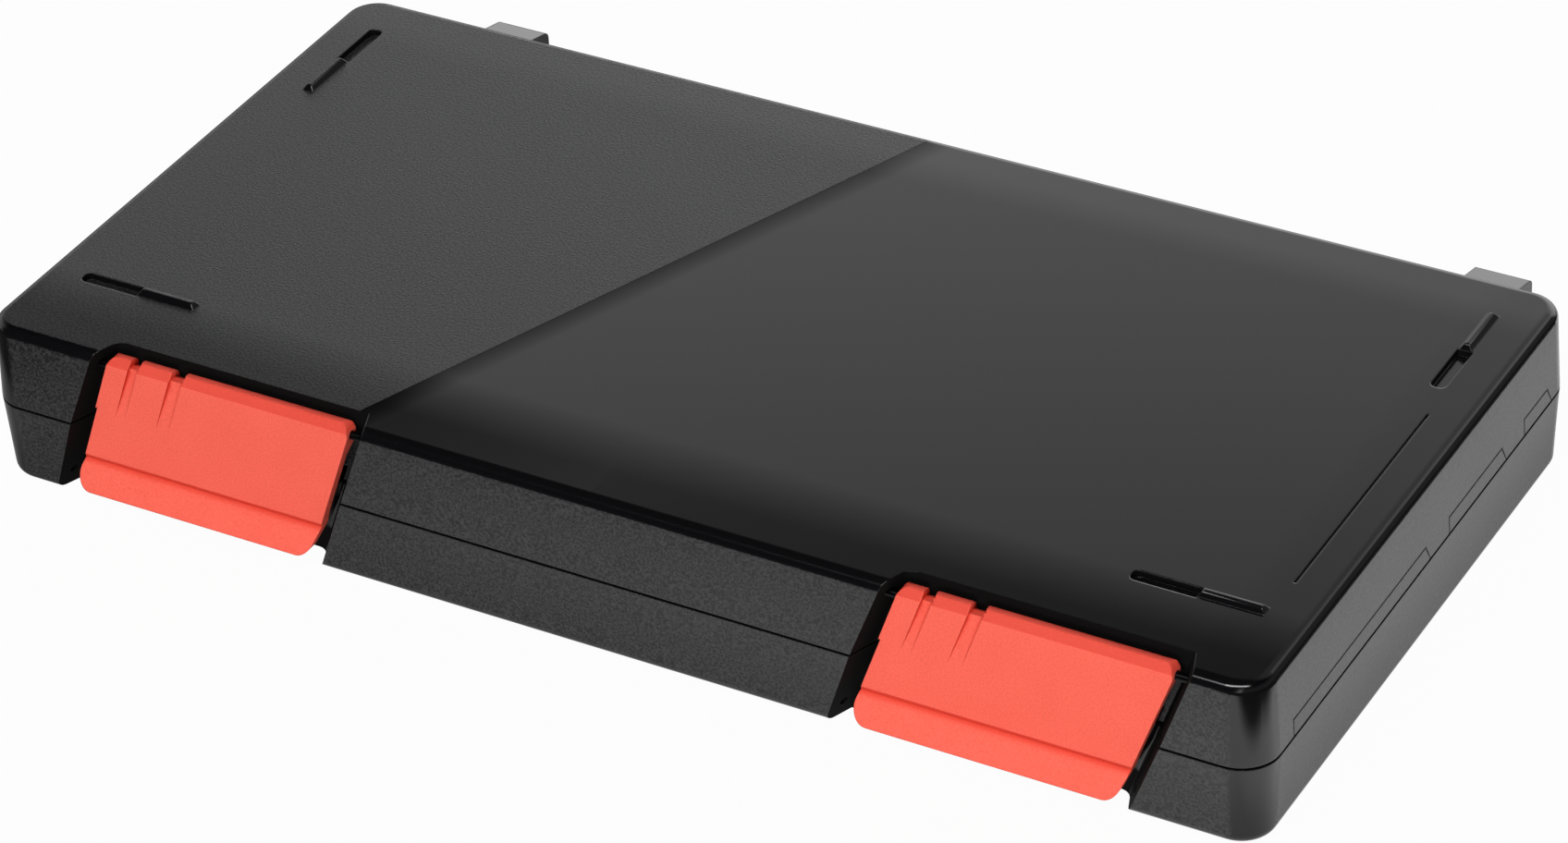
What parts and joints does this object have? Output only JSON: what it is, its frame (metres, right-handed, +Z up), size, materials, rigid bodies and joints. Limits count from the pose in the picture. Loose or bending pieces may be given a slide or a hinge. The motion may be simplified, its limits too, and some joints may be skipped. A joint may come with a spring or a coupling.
{
  "type": "tool case",
  "caption": "Flat hinged tool case of like half shells with slanted finger latches at the front, stacking ribs and grooves, a compartment tray and a foam pad in the lid.",
  "frame": {"origin": "centre of the case's plan, without the hinge lugs, on the flat underside of the base; the stacking ribs reach 1 mm lower", "axes": "+X along the case to the right as seen from the latches, +Y from the latches to the hinge, +Z up"},
  "size_m": [0.25, 0.136, 0.0344],
  "materials": {
    "shell_plastic": "fine-grained black moulding",
    "latch_plastic": "satin red-orange moulding",
    "pin_steel": "plain drawn rod",
    "latch_pin_steel": "blackened rod",
    "tray_plastic": "fine-grained dark grey moulding",
    "foam": "open-cell foam"
  },
  "bodies": {
    "base": {"base_shell": "shell_plastic", "tool_tray": "tray_plastic", "hinge_pin_left": "pin_steel", "hinge_pin_right": "pin_steel"},
    "lid": {"lid_shell": "shell_plastic", "lid_foam_pad": "foam", "latch_pin_left": "latch_pin_steel", "latch_pin_right": "latch_pin_steel"},
    "left_latch": {"latch_left": "latch_plastic"},
    "right_latch": {"latch_right": "latch_plastic"}
  },
  "joints": [
    {"name": "lid_hinge", "type": "hinge", "parent": "base", "child": "lid", "pos_m": [0, 0.068, 0.0162], "axis": [-1, 0, 0], "range_deg": [0, 180]},
    {"name": "left_latch_pivot", "type": "hinge", "parent": "lid", "child": "left_latch", "pos_m": [-0.0784, -0.0599, 0.029], "axis": [-1, 0, 0], "range_deg": [0, 95]},
    {"name": "right_latch_pivot", "type": "hinge", "parent": "lid", "child": "right_latch", "pos_m": [0.0784, -0.0599, 0.029], "axis": [-1, 0, 0], "range_deg": [0, 95]}
  ]
}
